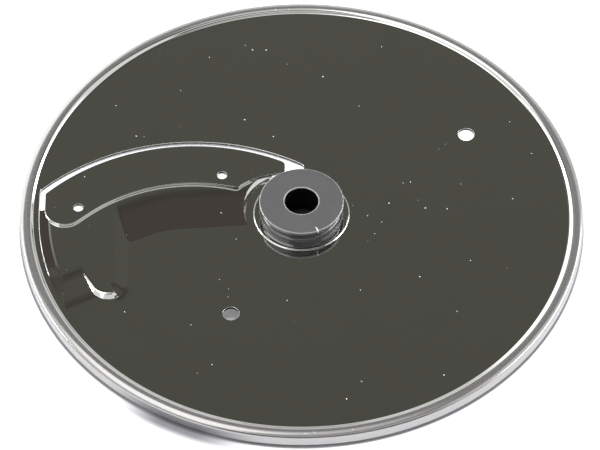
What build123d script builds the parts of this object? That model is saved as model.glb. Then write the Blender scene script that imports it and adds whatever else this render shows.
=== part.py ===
from build123d import *

import os
from math import acos, cos, degrees, radians, sin

# Slicing disc of a food processor: stamped steel plate, welded crescent blade, moulded hub.
# The disc rests on its rim at Z = 0 with its axis on Z. +Y points away from the front of the disc.

# Sheet and rolled rim
DISC_DIAMETER = 180.0
SHEET = 1.0
PLATE_HEIGHT = 4.4  # resting edge to the top of the flat plate
CROWN_RISE = 1.0  # crown of the rim above the plate
ROOT_RADIUS = 1.2  # hollow where the plate turns up into the rim
CROWN_INNER_RADIUS = 1.4
CORNER_INNER_RADIUS = 1.2
CURL_INNER_RADIUS = 0.3
CROWN_LAND = 0.1  # flat width on top of the rim
LIP_WIDTH = 1.1  # flat hem turned in under the skirt

# Hub, moulded round the plate's keyed opening
BORE_DIAMETER = 10.8
HUB_DIAMETER = 27.0
HUB_RISE = 6.4  # top face above the plate
HUB_FLOOR_GAP = 0.4  # underside above the resting edge
HUB_TOP_FLANGE = 1.3
HUB_BASE_FLANGE = 1.6
HUB_NECK_DEPTH = 1.6
HUB_EDGE_RADIUS = 0.45
BORE_LIP_RADIUS = 0.35
KEY_SIDE = 16.0
KEY_CORNER = 2.5
NOTCH_WIDTH = 2.2
NOTCH_LENGTH = 20.0
NOTCH_DEPTH = 2.4
NOTCH_ANGLE = 48.0

# Pressed-up hub seat and the wall of the blade seat beside it
HUB_SEAT_MARGIN = 1.6  # flat ring of the seat round the hub
HUB_SEAT_RISE = 0.3
HUB_SEAT_DRAFT = 0.25
HUB_WALL_GAP = 2.55  # from the foot of the hub seat to the foot of the wall
HUB_WALL_RUN = 1.5

# Blade seat: everything sweeps about one vertical axis
SWEEP_AZIMUTH = 228.7  # from the disc's axis to the sweep axis
SLOT_RADIUS = 69.4
SLOT_HUB_GAP = 3.46  # from the hub to the slot's circle, where it passes nearest
SLOT_GAP = 3.45  # slot edge to cutting edge
BLADE_WIDTH = 15.55
BLADE_THICKNESS = 0.9
SEAT_RISE = 1.2
SEAT_WIDTH = 9.9  # width of the seat under the blade
SLOPE_RUN = 14.2
SLOPE_CREST_LEAD = 2.9  # blade's rear edge to the crest of the rear slope
SLOPE_BLEND = 40.0
SLOPE_TURN = 94.5  # azimuth about the sweep axis where the slope runs straight on, towards the hub
SLOPE_ARC = 45.5  # from there the sweep ends inside the lobe
SLOPE_STRAIGHT = 40.0  # and the straight run ends inside the hub wall
RIM_WALL_GAP = 1.2  # from the rim's root to the foot of the seat's left wall
RIM_WALL_RUN = 3.5
SLOT_RIM_GAP = 1.3
SLOT_BOTTOM = 0.9
SLOT_CORNER = 1.3
SLOT_TIP_WIDTH = 2.45  # between the slot's edge and the hub wall
SLOT_TIP_RADIUS = 1.2

# Lobe of the seat, with a rounded nose towards the front and a ramp towards the rim
NOSE_X = -61.0
NOSE_Y = -28.8
NOSE_RADIUS = 6.2
NOSE_HEADING = 121.5  # the straight wall leaves the nose this way, up to the rim
LOBE_LEAN = 3.2  # the lobe's inner edge leans left from the nose
LOBE_DRAFT = 45.0
LOBE_CREST_RADIUS = 2.0
RAMP_AZIMUTH = 207.0
RAMP_RUN = 9.8
RAMP_BLEND = 40.0
RAMP_LENGTH = 40.0  # reaches in under the blade
RAMP_WIDTH = 20.5  # from the overall radius inwards, to inside the lobe

# Blade outline
BLADE_RIM_GAP = 1.9  # slot edge to the blade's outer end
HEEL_RADIUS = 6.4  # rounded corner behind the outer end
HEEL_GAP = 0.2  # opens the S-shaped step between the heel and the rear edge
TONGUE_START_GAP = 8.8  # hub to the start, middle and tip of the tongue's inner edge
TONGUE_MIDDLE_GAP = 6.2
TONGUE_TIP_GAP = 2.7
TONGUE_MIDDLE_WIDTH = 10.05  # cutting edge to the middle and tip of that edge
TONGUE_TIP_WIDTH = 3.9
TONGUE_CORNER = 1.4
TONGUE_FRONT_CORNER = 1.3
BEVEL_WIDTH = 2.6
EDGE_LAND = 0.12

# Round holes
WELD_HOLE_DIAMETER = 3.1
WELD_HOLE_INSET = 4.0  # from the blade's rear edge
OUTER_HOLE_INSET = 10.7  # from the blade's outer end
INNER_HOLE_INSET = 5.1  # from the start of the tongue
PLATE_HOLE_DIAMETER = 5.2
PLATE_HOLES = ((53.3, 33.2), (-22.2, -40.8))

# Derived sizes
DISC_RADIUS = DISC_DIAMETER / 2
CROWN_RADIUS = CROWN_INNER_RADIUS + SHEET
CORNER_RADIUS = CORNER_INNER_RADIUS + SHEET
CURL_RADIUS = CURL_INNER_RADIUS + SHEET
S_ANGLE = degrees(acos(1 - CROWN_RISE / (ROOT_RADIUS + CROWN_RADIUS)))
S_RUN = (ROOT_RADIUS + CROWN_RADIUS) * sin(radians(S_ANGLE))
RIM_ROOT = DISC_RADIUS - CORNER_RADIUS - CROWN_LAND - S_RUN
SEAT_TOP = PLATE_HEIGHT + SEAT_RISE
SHEET_MIDDLE = PLATE_HEIGHT - SHEET / 2
EDGE_BOTTOM = SEAT_TOP + BLADE_THICKNESS - EDGE_LAND
HUB_RADIUS = HUB_DIAMETER / 2
HUB_TOP = PLATE_HEIGHT + HUB_RISE
HUB_SEAT_TOP = PLATE_HEIGHT + HUB_SEAT_RISE
HUB_SEAT_RADIUS = HUB_RADIUS + HUB_SEAT_MARGIN
HUB_SEAT_FOOT = HUB_SEAT_RADIUS + HUB_SEAT_DRAFT
HUB_WALL_FOOT = HUB_SEAT_FOOT + HUB_WALL_GAP
RIM_WALL_FOOT = RIM_ROOT - RIM_WALL_GAP
BLADE_FRONT = SLOT_RADIUS - SLOT_GAP
BLADE_REAR = BLADE_FRONT - BLADE_WIDTH
SEAT_FRONT = BLADE_REAR + SEAT_WIDTH
SLOPE_CREST = BLADE_REAR - SLOPE_CREST_LEAD
SLOPE_FOOT = SLOPE_CREST - SLOPE_RUN
SLOT_LEFT = -(RIM_ROOT - SLOT_RIM_GAP)
BLADE_LEFT = SLOT_LEFT + BLADE_RIM_GAP
SWEEP_REACH = SLOT_RADIUS - SLOT_HUB_GAP - HUB_RADIUS
SWEEP = Vector(SWEEP_REACH, 0).rotate(Axis.Z, SWEEP_AZIMUTH)
SWEEP_AXIS = Axis(SWEEP, (0, 0, 1))
NOSE = Vector(NOSE_X, NOSE_Y)


def on_sweep(radius, azimuth):
    """The point at a radius and azimuth about the sweep axis, in plan."""
    return SWEEP + Vector(cos(radians(azimuth)), sin(radians(azimuth))) * radius


def azimuth_at(radius, x):
    """The azimuth where a circle about the sweep axis, on its far side, passes a given X."""
    return degrees(acos((x - SWEEP.X) / radius))


def beside_hub(sweep_radius, hub_distance):
    """The point left of the hub, at a radius about the sweep axis and a distance from the disc's axis."""
    squares = sweep_radius**2 + SWEEP_REACH**2 - hub_distance**2
    turn = acos(squares / (2 * sweep_radius * SWEEP_REACH))
    return on_sweep(sweep_radius, SWEEP_AZIMUTH - 180 + degrees(turn))


# Places that keep their clearance from the hub
SLOT_TIP = beside_hub(SLOT_RADIUS, HUB_WALL_FOOT + SLOT_TIP_WIDTH)
TONGUE_START = beside_hub(BLADE_REAR, HUB_RADIUS + TONGUE_START_GAP)
TONGUE_MIDDLE = beside_hub(BLADE_FRONT - TONGUE_MIDDLE_WIDTH, HUB_RADIUS + TONGUE_MIDDLE_GAP)
TONGUE_TIP = beside_hub(BLADE_FRONT - TONGUE_TIP_WIDTH, HUB_RADIUS + TONGUE_TIP_GAP)

# The holes of the spot welds, through blade and seat
WELD_ARC = BLADE_REAR + WELD_HOLE_INSET
OUTER_HOLE = on_sweep(WELD_ARC, azimuth_at(WELD_ARC, BLADE_LEFT + OUTER_HOLE_INSET))
INNER_HOLE = on_sweep(WELD_ARC, azimuth_at(WELD_ARC, TONGUE_START.X - INNER_HOLE_INSET))


# The raised forms keep between a wall round the hub and a rounded wall beside the rim
with BuildPart() as seat_limits:
    with BuildSketch(Plane.XZ):
        with BuildLine():
            walls = Polyline(
                (RIM_WALL_FOOT, PLATE_HEIGHT),
                (RIM_WALL_FOOT, SHEET_MIDDLE),
                (HUB_WALL_FOOT, SHEET_MIDDLE),
                (HUB_WALL_FOOT, PLATE_HEIGHT),
                (HUB_WALL_FOOT + HUB_WALL_RUN, SEAT_TOP),
                (RIM_WALL_FOOT - RIM_WALL_RUN, SEAT_TOP),
            )
            TangentArc(walls @ 1, walls @ 0, tangent=(1, 0))
        make_face()
    revolve(axis=Axis.Z)
    # In front they end inside the slot
    with BuildSketch(Plane.XY.offset(SHEET_MIDDLE)):
        with Locations(SWEEP):
            Circle((SEAT_FRONT + SLOT_RADIUS) / 2)
    extrude(amount=SEAT_TOP, mode=Mode.INTERSECT)

# Rear slope: from the seat under the blade down to the plate, swept about the sweep axis and then straight
slope_out = Vector(1, 0).rotate(Axis.Z, SLOPE_TURN)
slope_ahead = Vector(0, -1).rotate(Axis.Z, SLOPE_TURN)
with BuildPart() as rear_slope:
    with BuildSketch(Plane(SWEEP, slope_out, slope_ahead)) as slope_section:
        with BuildLine():
            Polyline(
                (SLOPE_FOOT, SHEET_MIDDLE),
                (SLOPE_FOOT, PLATE_HEIGHT),
                (SLOPE_CREST, SEAT_TOP),
                (SLOT_RADIUS, SEAT_TOP),
                (SLOT_RADIUS, SHEET_MIDDLE),
                close=True,
            )
        make_face()
        fillet(slope_section.vertices().group_by(Axis.Y)[-1].sort_by(Axis.X)[0], SLOPE_BLEND)
    revolve(axis=SWEEP_AXIS, revolution_arc=SLOPE_ARC)
    extrude(slope_section.sketch.face(), amount=SLOPE_STRAIGHT)
    add(seat_limits.part, mode=Mode.INTERSECT)

# Lobe: a draughted pad with a round nose, its straight wall running up to the rim
with BuildPart() as lobe:
    with BuildSketch(Plane.XY.offset(PLATE_HEIGHT)):
        with BuildLine():
            wall_start = NOSE + Vector(-NOSE_RADIUS, 0).rotate(Axis.Z, NOSE_HEADING - 90)
            edge_start = NOSE + Vector(NOSE_RADIUS, 0).rotate(Axis.Z, LOBE_LEAN)
            ThreePointArc(wall_start, NOSE + Vector(0, -NOSE_RADIUS), edge_start)
            wall = PolarLine(wall_start, DISC_RADIUS, NOSE_HEADING)
            edge = PolarLine(edge_start, DISC_RADIUS / 2, 90 + LOBE_LEAN)
            Line(wall @ 1, edge @ 1)
        make_face()
    extrude(amount=SEAT_RISE, taper=LOBE_DRAFT)
    fillet(lobe.edges().group_by(Axis.Z)[-1], LOBE_CREST_RADIUS)
    extrude(lobe.faces().sort_by(Axis.Z)[0], amount=SHEET / 2)
    add(seat_limits.part, mode=Mode.INTERSECT)

# Ramp: its profile runs round the disc, from the seat down to the plate, beside the rim
ramp_radial = Vector(1, 0).rotate(Axis.Z, RAMP_AZIMUTH)
ramp_along = Vector(0, -1).rotate(Axis.Z, RAMP_AZIMUTH)
with BuildPart() as ramp:
    with BuildSketch(Plane(ramp_radial * DISC_RADIUS, ramp_along, -ramp_radial)) as ramp_section:
        with BuildLine():
            Polyline(
                (0, SHEET_MIDDLE),
                (0, PLATE_HEIGHT),
                (RAMP_RUN, SEAT_TOP),
                (RAMP_LENGTH, SEAT_TOP),
                (RAMP_LENGTH, SHEET_MIDDLE),
                close=True,
            )
        make_face()
        fillet(ramp_section.vertices().group_by(Axis.Y)[-1].sort_by(Axis.X)[0], RAMP_BLEND)
    extrude(amount=RAMP_WIDTH)
    add(seat_limits.part, mode=Mode.INTERSECT)

# All raised forms together, with the shallow round seat for the hub
with BuildPart() as pressing:
    add(rear_slope.part)
    add(lobe.part)
    add(ramp.part)
    with BuildSketch(Plane.XZ):
        with BuildLine():
            Polyline(
                (0, SHEET_MIDDLE),
                (HUB_SEAT_FOOT, SHEET_MIDDLE),
                (HUB_SEAT_FOOT, PLATE_HEIGHT),
                (HUB_SEAT_RADIUS, HUB_SEAT_TOP),
                (0, HUB_SEAT_TOP),
                close=True,
            )
        make_face()
    revolve(axis=Axis.Z)

# Plate: one sheet, flat in the middle, with a rolled rim, a skirt and a hem turned in below it
with BuildPart() as disc_plate:
    with BuildSketch(Plane.XZ):
        with BuildLine():
            flat = Line((0, PLATE_HEIGHT), (RIM_ROOT, PLATE_HEIGHT))
            root = JernArc(flat @ 1, flat % 1, ROOT_RADIUS, S_ANGLE)
            crown = JernArc(root @ 1, root % 1, CROWN_RADIUS, -S_ANGLE)
            land = Line(crown @ 1, (crown @ 1) + Vector(CROWN_LAND, 0))
            corner = JernArc(land @ 1, (1, 0), CORNER_RADIUS, -90)
            skirt = Line(corner @ 1, (DISC_RADIUS, CURL_RADIUS))
            curl = JernArc(skirt @ 1, (0, -1), CURL_RADIUS, -90)
            Line(curl @ 1, (curl @ 1) - Vector(LIP_WIDTH, 0))
            offset(amount=SHEET, side=Side.RIGHT)
        make_face()
    revolve(axis=Axis.Z)
    # The pressing lifts the sheet: the same forms are raised above and hollowed below
    add(pressing.part)
    add(Pos(0, 0, -SHEET) * pressing.part, mode=Mode.SUBTRACT)
    # Slot in front of the blade, lanced from the rim to a tip beside the hub
    with BuildSketch() as slot:
        with Locations(SWEEP):
            Circle(SLOT_RADIUS)
            Circle(SEAT_FRONT, mode=Mode.SUBTRACT)
        with Locations((SLOT_LEFT, SLOT_BOTTOM)):
            corner = (Align.MIN, Align.MIN)
            Rectangle(SLOT_TIP.X - SLOT_LEFT, DISC_RADIUS, align=corner, mode=Mode.INTERSECT)
        Circle(HUB_WALL_FOOT, mode=Mode.SUBTRACT)
        fillet(slot.vertices().sort_by(Axis.X)[:2], SLOT_CORNER)
        fillet(slot.vertices().sort_by(Axis.X)[-2:], SLOT_TIP_RADIUS)
    extrude(amount=SEAT_TOP, mode=Mode.SUBTRACT)
    # Keyed opening for the hub, and the round holes
    with BuildSketch():
        RectangleRounded(KEY_SIDE, KEY_SIDE, KEY_CORNER)
        with Locations(*PLATE_HOLES):
            Circle(PLATE_HOLE_DIAMETER / 2)
        with Locations(OUTER_HOLE, INNER_HOLE):
            Circle(WELD_HOLE_DIAMETER / 2)
    extrude(amount=SEAT_TOP, mode=Mode.SUBTRACT)

# Blade: a crescent welded flat on the seat, its front arc ground from below to the cutting edge
with BuildPart() as slicing_blade:
    with BuildSketch(Plane.XY.offset(SEAT_TOP)) as blade_outline:
        with BuildLine():
            outer_end = azimuth_at(BLADE_FRONT, BLADE_LEFT)
            inner_end = azimuth_at(BLADE_FRONT, TONGUE_TIP.X)
            tongue_start = azimuth_at(BLADE_REAR, TONGUE_START.X)
            # The heel's circle stands off the rear arc, and a straight step runs tangent to both
            heel_reach = BLADE_REAR + HEEL_RADIUS + HEEL_GAP
            heel_azimuth = azimuth_at(heel_reach, BLADE_LEFT + HEEL_RADIUS)
            heel_centre = on_sweep(heel_reach, heel_azimuth)
            step_turn = degrees(acos((BLADE_REAR + HEEL_RADIUS) / heel_reach))
            heel_end = heel_azimuth + 180 - step_turn
            rear_start = heel_azimuth - step_turn
            front = CenterArc(SWEEP, BLADE_FRONT, inner_end, outer_end - inner_end)
            heel = CenterArc(heel_centre, HEEL_RADIUS, 180, heel_end - 180)
            rear = CenterArc(SWEEP, BLADE_REAR, rear_start, tongue_start - rear_start)
            Line(front @ 1, heel @ 0)
            Line(heel @ 1, rear @ 0)
            tongue = ThreePointArc(rear @ 1, TONGUE_MIDDLE, TONGUE_TIP)
            Line(tongue @ 1, front @ 0)
        make_face()
        fillet(blade_outline.vertices().sort_by_distance(TONGUE_START)[0], TONGUE_CORNER)
        fillet(blade_outline.vertices().sort_by_distance(TONGUE_TIP)[0], TONGUE_CORNER)
        fillet(blade_outline.vertices().sort_by_distance(front @ 0)[0], TONGUE_FRONT_CORNER)
        with Locations(OUTER_HOLE, INNER_HOLE):
            Circle(WELD_HOLE_DIAMETER / 2, mode=Mode.SUBTRACT)
    extrude(amount=BLADE_THICKNESS)
    with BuildSketch(Plane(SWEEP, (1, 0, 0), (0, -1, 0))):
        with BuildLine():
            Polyline(
                (BLADE_FRONT - BEVEL_WIDTH, SEAT_TOP),
                (BLADE_FRONT, EDGE_BOTTOM),
                (SLOT_RADIUS, EDGE_BOTTOM),
                (SLOT_RADIUS, SEAT_TOP),
                close=True,
            )
        make_face()
    revolve(axis=SWEEP_AXIS, mode=Mode.SUBTRACT)

# Hub: a grooved spool above the plate and a flange below it, joined through the keyed opening
with BuildPart() as hub:
    with BuildSketch(Plane.XZ) as spool_section:
        with BuildLine():
            base_top = HUB_SEAT_TOP + HUB_BASE_FLANGE
            flange_bottom = HUB_TOP - HUB_TOP_FLANGE
            neck = HUB_RADIUS - HUB_NECK_DEPTH
            below = Polyline(
                (0, HUB_TOP),
                (0, HUB_SEAT_TOP),
                (HUB_RADIUS, HUB_SEAT_TOP),
                (HUB_RADIUS, base_top),
            )
            waist = (neck, (base_top + flange_bottom) / 2)
            groove = ThreePointArc(below @ 1, waist, (HUB_RADIUS, flange_bottom))
            Polyline(groove @ 1, (HUB_RADIUS, HUB_TOP), (0, HUB_TOP))
        make_face()
        rounded = spool_section.vertices().group_by(Axis.X)[-1].sort_by(Axis.Y)
        fillet(rounded[1:], HUB_EDGE_RADIUS)
    revolve(axis=Axis.Z)
    with BuildSketch(Plane.XY.offset(HUB_SEAT_TOP - SHEET)):
        RectangleRounded(KEY_SIDE, KEY_SIDE, KEY_CORNER)
    extrude(amount=SHEET)
    with BuildSketch(Plane.XY.offset(HUB_FLOOR_GAP)):
        Circle(HUB_RADIUS)
    extrude(amount=HUB_SEAT_TOP - SHEET - HUB_FLOOR_GAP)
    fillet(hub.edges().filter_by(GeomType.CIRCLE).group_by(Axis.Z)[0], HUB_EDGE_RADIUS)
    # Notch across the underside for the drive pin
    with BuildSketch(Plane.XY.offset(HUB_FLOOR_GAP).rotated((0, 0, NOTCH_ANGLE))):
        SlotOverall(NOTCH_LENGTH, NOTCH_WIDTH)
    extrude(amount=NOTCH_DEPTH, mode=Mode.SUBTRACT)
    with BuildSketch():
        Circle(BORE_DIAMETER / 2)
    extrude(amount=HUB_TOP, mode=Mode.SUBTRACT)
    bore_lip = hub.edges().filter_by(GeomType.CIRCLE).group_by(Axis.Z)[-1].sort_by(SortBy.RADIUS)[0]
    fillet(bore_lip, BORE_LIP_RADIUS)

os.makedirs("parts", exist_ok=True)
disc_plate.part.label = "disc_plate"
slicing_blade.part.label = "slicing_blade"
hub.part.label = "hub"
export_step(disc_plate.part, "parts/disc_plate.step")
export_step(slicing_blade.part, "parts/slicing_blade.step")
export_step(hub.part, "parts/hub.step")
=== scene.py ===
"""Slicing disc of a food processor, dressed over its solids: polished plate, crescent blade, moulded hub."""

import math

import bpy
import numpy as np
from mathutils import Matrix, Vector, geometry


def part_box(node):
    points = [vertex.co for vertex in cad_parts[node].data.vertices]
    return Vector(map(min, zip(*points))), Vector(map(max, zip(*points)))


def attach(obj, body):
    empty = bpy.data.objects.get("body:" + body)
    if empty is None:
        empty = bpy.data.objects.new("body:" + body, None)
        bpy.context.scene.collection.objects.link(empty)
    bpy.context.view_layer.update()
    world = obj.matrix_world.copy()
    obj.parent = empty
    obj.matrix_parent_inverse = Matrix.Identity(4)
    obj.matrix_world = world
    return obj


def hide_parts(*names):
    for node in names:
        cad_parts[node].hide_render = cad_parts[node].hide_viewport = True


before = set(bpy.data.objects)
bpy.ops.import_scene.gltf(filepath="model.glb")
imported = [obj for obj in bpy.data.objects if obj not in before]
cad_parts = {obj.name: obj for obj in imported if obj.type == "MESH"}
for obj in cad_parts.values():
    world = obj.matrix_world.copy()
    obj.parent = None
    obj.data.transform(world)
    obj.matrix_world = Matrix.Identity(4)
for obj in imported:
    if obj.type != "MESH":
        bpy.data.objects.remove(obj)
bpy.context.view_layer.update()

MM = 0.001

# Sizes in millimetres, first those that the solids' boxes give
_, plate_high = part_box("disc_plate")
hub_low, hub_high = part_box("hub")
_, blade_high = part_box("slicing_blade")
DISC_RADIUS = plate_high.x / MM
SEAT_TOP = plate_high.z / MM
HUB_RADIUS = hub_high.x / MM
HUB_TOP = hub_high.z / MM
HUB_BOTTOM = hub_low.z / MM
BLADE_TOP = blade_high.z / MM

# Sheet and rolled rim
SHEET = 1.0
SEAT_RISE = 1.2
CROWN_RISE = 1.0
ROOT_RADIUS = 1.2
CROWN_RADIUS = 2.1
SHOULDER_RADIUS = 3.6
SHOULDER_ANGLE = math.radians(32)
CORNER_RADIUS = 1.1
CURL_RADIUS = 1.3
LIP_WIDTH = 1.1
PLATE_TOP = SEAT_TOP - SEAT_RISE
S_ANGLE = math.acos(1 - CROWN_RISE / (ROOT_RADIUS + CROWN_RADIUS))
SHOULDER_REACH = (SHOULDER_RADIUS - CORNER_RADIUS) * math.sin(SHOULDER_ANGLE)
CROWN_TOP_RADIUS = DISC_RADIUS - CORNER_RADIUS - SHOULDER_REACH
RIM_ROOT = CROWN_TOP_RADIUS - (ROOT_RADIUS + CROWN_RADIUS) * math.sin(S_ANGLE)

# Hub and its pressed-up seat
BORE_RADIUS = 5.4
HUB_SEAT_RISE = 0.3
HUB_SEAT_RADIUS = HUB_RADIUS + 1.6
HUB_SEAT_FOOT = HUB_SEAT_RADIUS + 0.25
HUB_WALL_FOOT = HUB_SEAT_FOOT + 2.55
HUB_WALL_RUN = 1.5
HUB_SEAT_SOFTNESS = 0.06
KEY_HALF = 8.0
KEY_CORNER = 2.5

# Blade seat, swept about one vertical axis
SLOT_RADIUS = 69.4
SLOT_HUB_GAP = 3.46
SWEEP_AZIMUTH = math.radians(228.7)
SWEEP_REACH = SLOT_RADIUS - SLOT_HUB_GAP - HUB_RADIUS
SWEEP = SWEEP_REACH * np.array([math.cos(SWEEP_AZIMUTH), math.sin(SWEEP_AZIMUTH)])
BLADE_FRONT = SLOT_RADIUS - 3.45
BLADE_REAR = BLADE_FRONT - 15.55
SEAT_FRONT = BLADE_REAR + 9.9
SLOPE_CREST = BLADE_REAR - 2.9
SLOPE_FOOT = SLOPE_CREST - 14.2
SLOPE_TURN = math.radians(94.5)
SLOPE_SIDE = math.tan(math.radians(52))
SLOPE_FOOT_SOFTNESS = 0.35
SLOPE_CREST_SOFTNESS = 3.0
RIM_WALL_FOOT = RIM_ROOT - 1.2
RIM_WALL_RUN = 3.5
RIM_WALL_HOLLOW = 0.1
RIM_WALL_LIP = 0.16
RIM_WALL_LIP_RUN = 0.06
RIM_WALL_LIP_ENDS = (-27, -22)
RIM_WALL_SOFTNESS = 0.22
HUB_WALL_SOFTNESS = 0.5
SLOT_LEFT = -(RIM_ROOT - 1.3)
SLOT_BOTTOM = 0.9
SLOT_TIP_WIDTH = 2.45
# The slot's corners: its two at the rim, the seat's front beside the rim and the hub, the tip's two
SLOT_CORNERS = (1.3, 1.3, 0.3, 0.3, 1.15, 1.15)

# Lobe of the seat: a round nose, a straight wall up to the rim, and a ramp beside it
NOSE = np.array([-61.0, -28.8])
NOSE_RADIUS = 6.2
NOSE_HEADING = math.radians(121.5)
LOBE_LEAN = math.radians(1.0)
FLANK_RUN = 1.2
FLANK_SOFTNESS = 0.3
FRONT_FLANK_RUN = 1.6
FRONT_TURN = (-140, -105)
SOFT_FLANK_RUN = 3.2
SOFT_FLANK_INSET = 0.5
SOFT_FLANK_SOFTNESS = 1.2
SOFT_TURN = (-78, -50)
SOFT_SPREAD = 3.0
RAMP_AZIMUTH = math.radians(207)
RAMP_RUN = 9.8
RAMP_SOFTNESS = 1.6

# Blade outline
BLADE_LEFT = SLOT_LEFT + 1.9
HEEL_RADIUS = 6.4
HEEL_GAP = 0.2
BEVEL_WIDTH = 2.6
EDGE_LAND = 0.12
WELD_HOLE_RADIUS = 1.55
WELD_ARC = BLADE_REAR + 4.0
OUTER_HOLE_INSET = 10.7
INNER_HOLE_INSET = 5.1
BLADE_ROUNDING = (0.12, 0.1, 0.1)
BEVEL_ENDS = (-8.0, -78.0)
TIP_INSET = 3.9
TIP_GAP = 2.7
TONGUE_INSET = 10.05
TONGUE_GAP = 6.2
TONGUE_START_GAP = 8.8
# The blade's corners: outer end, three smooth joins, the tongue's start, and the tip's two
BLADE_CORNERS = (0.3, 0, 0, 0, 1.2, 1.0, 1.3)

# Plain holes of the plate
PLATE_HOLE_RADIUS = 2.6
PLATE_HOLES = ((53.3, 33.2), (-22.2, -40.8))

# Fineness of the meshes
ROUND_STEPS = 432
HUB_STEPS = 256
HOLE_STEPS = 72
WELD_HOLE_STEPS = 48
BEVEL_STEPS = 120
SHARP_ANGLE = math.radians(40)
EDGE_ROUNDING = 0.14
EDGE_STEPS = 4
ROUNDING_SHARE = 0.48
FINE_PITCH = 0.5
COARSE_EVERY = 6
FINE_BEND = 0.03
# Distances from a wall's or slope's foot at which the plate's triangles follow it
HUB_WALL_LINES = (-0.3, -0.12, 0.0, 0.04, 0.1, 0.2, 0.35, 0.5, 0.7, 0.9, 1.1, 1.4)
RIM_WALL_LINES = (-0.3, -0.1, 0.0, 0.05, 0.1, 0.15, 0.21, 0.3, 0.5, 0.8, 2.4, 2.7, 3.0, 3.3)
FLANK_LINES = (-0.25, -0.1, 0.0, 0.03, 0.08, 0.16, 0.28, 0.45, 0.7, 1.0, 1.4, 1.8)
SLOPE_LINES = (-0.6, -0.3, 0.0, 0.3, 0.6, 1.0)
# How far those lines run, in turn about their centre or in length, and how many points each has
HUB_WALL_TURN = (math.radians(88), math.radians(190), 300)
RIM_WALL_TURN = (math.radians(170), math.radians(215), 240)
NOSE_TURN = (NOSE_HEADING + np.pi / 2, LOBE_LEAN + 2 * np.pi, 90)
LOBE_RUN = (0.2, 34, 100)
SLOPE_ARC = (SLOPE_TURN, SLOPE_TURN + math.radians(60), 150)
SLOPE_RUN = (0.2, 40, 130)
# Rings round the hub: close together over the edge of its seat, and a few on the flat beside it
HUB_SEAT_RINGS = (HUB_SEAT_RADIUS - 0.3, HUB_SEAT_FOOT + 0.3, 13)
HUB_FLAT_RINGS = (14.2, 16.4, 17.0)
HUB_RING_STEPS = 300
# How far the plate's grid keeps from hub, rim and cuts, and the least distance of its points
HUB_CLEARANCE = 1.0
RIM_CLEARANCE = 0.25
CUT_CLEARANCE = EDGE_ROUNDING + 0.15
LEAST_PITCH = 0.03
LOOP_PART = 60


# Plan curves


def polar(centre, radius, angle):
    """Points at a radius and angle, in radians, about a centre in plan."""
    angle = np.asarray(angle, float)
    return np.asarray(centre) + radius * np.stack([np.cos(angle), np.sin(angle)], -1)


def circle(centre, radius, steps):
    """A closed loop of points once round a circle, counter-clockwise."""
    return polar(centre, radius, np.linspace(0, 2 * np.pi, steps, endpoint=False))


def arc(centre, radius, start, end, pitch=0.35):
    """Points along a circular arc from one angle to another, about one pitch apart."""
    steps = max(3, int(abs(end - start) * radius / pitch))
    return polar(centre, radius, np.linspace(start, end, steps))


def line(start, end, pitch=0.35):
    """Points along a straight run, about one pitch apart."""
    start, end = np.asarray(start, float), np.asarray(end, float)
    steps = max(3, int(np.linalg.norm(end - start) / pitch))
    return start + np.linspace(0, 1, steps)[:, None] * (end - start)


def sweep_angle(radius, x):
    """The angle at which a circle about the sweep axis, on its far side, passes a given X."""
    return math.acos((x - SWEEP[0]) / radius)


def beside_hub(sweep_radius, hub_distance):
    """The angle about the sweep axis at which its circle lies at a distance from the disc's axis, left of the hub."""
    squares = sweep_radius**2 + SWEEP_REACH**2 - hub_distance**2
    return SWEEP_AZIMUTH - np.pi + math.acos(squares / (2 * sweep_radius * SWEEP_REACH))


def trimmed(side, head, tail):
    """A run of points shortened by a length at its head and at its tail, measured along the run."""
    length = np.concatenate([[0], np.cumsum(np.linalg.norm(np.diff(side, axis=0), axis=1))])
    at = np.linspace(head, length[-1] - tail, len(side))
    return np.stack([np.interp(at, length, side[:, 0]), np.interp(at, length, side[:, 1])], -1)


def rounded_loop(sides, corners, steps=7):
    """Joins runs into a closed loop. Each corner is a quadratic curve that starts and ends its length away from it."""
    t = np.linspace(0, 1, steps + 2)[1:-1, None]
    runs = [trimmed(side, corners[i - 1], corners[i]) for i, side in enumerate(sides)]
    loop = []
    for i, run in enumerate(runs):
        after, corner = runs[(i + 1) % len(runs)], sides[i][-1]
        if corners[i] > 0:
            loop += [run, (1 - t) ** 2 * run[-1] + 2 * t * (1 - t) * corner + t**2 * after[0]]
        else:
            loop.append(run[:-1])
    loop = np.concatenate(loop)
    step = np.linalg.norm(loop - np.roll(loop, 1, axis=0), axis=1)
    return loop[step > 1e-4]


def loop_normals(loop):
    """Unit normals of a counter-clockwise loop, pointing out of it, from its neighbours' chord."""
    along = np.roll(loop, -1, axis=0) - np.roll(loop, 1, axis=0)
    along /= np.linalg.norm(along, axis=1)[:, None]
    return np.stack([along[:, 1], -along[:, 0]], -1)


def inside(points, loop):
    """Which points lie inside a closed loop, by counting the crossings of a ray to the right."""
    x, y = points[:, 0, None], points[:, 1, None]
    x0, y0 = loop[:, 0], loop[:, 1]
    x1, y1 = np.roll(x0, -1), np.roll(y0, -1)
    spans = (y0 > y) != (y1 > y)
    climb = np.where(y1 == y0, 1.0, y1 - y0)
    crossing = x0 + (y - y0) * (x1 - x0) / climb
    return (np.sum(spans & (x < crossing), axis=1) % 2) == 1


# Height of the pressed plate


def rise(distance, run, softness, crest_softness=None):
    """0 before a foot, 1 after a crest one run further, straight between, with both ends blended over a softness."""

    def ramp(value, soft):
        return (np.sqrt(value**2 + soft**2) + value) / 2

    return (ramp(distance, softness) - ramp(distance - run, crest_softness or softness)) / run


def flank(distance, run, softness):
    """0 at a crisp foot, then a straight wall that rounds over into its crest one run further in."""
    t = np.clip(distance, 0, None)
    bent = (np.sqrt((t - run) ** 2 + softness**2) + run - t) / 2
    start = (np.sqrt(run**2 + softness**2) + run) / 2
    return (start - bent) / start


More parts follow.
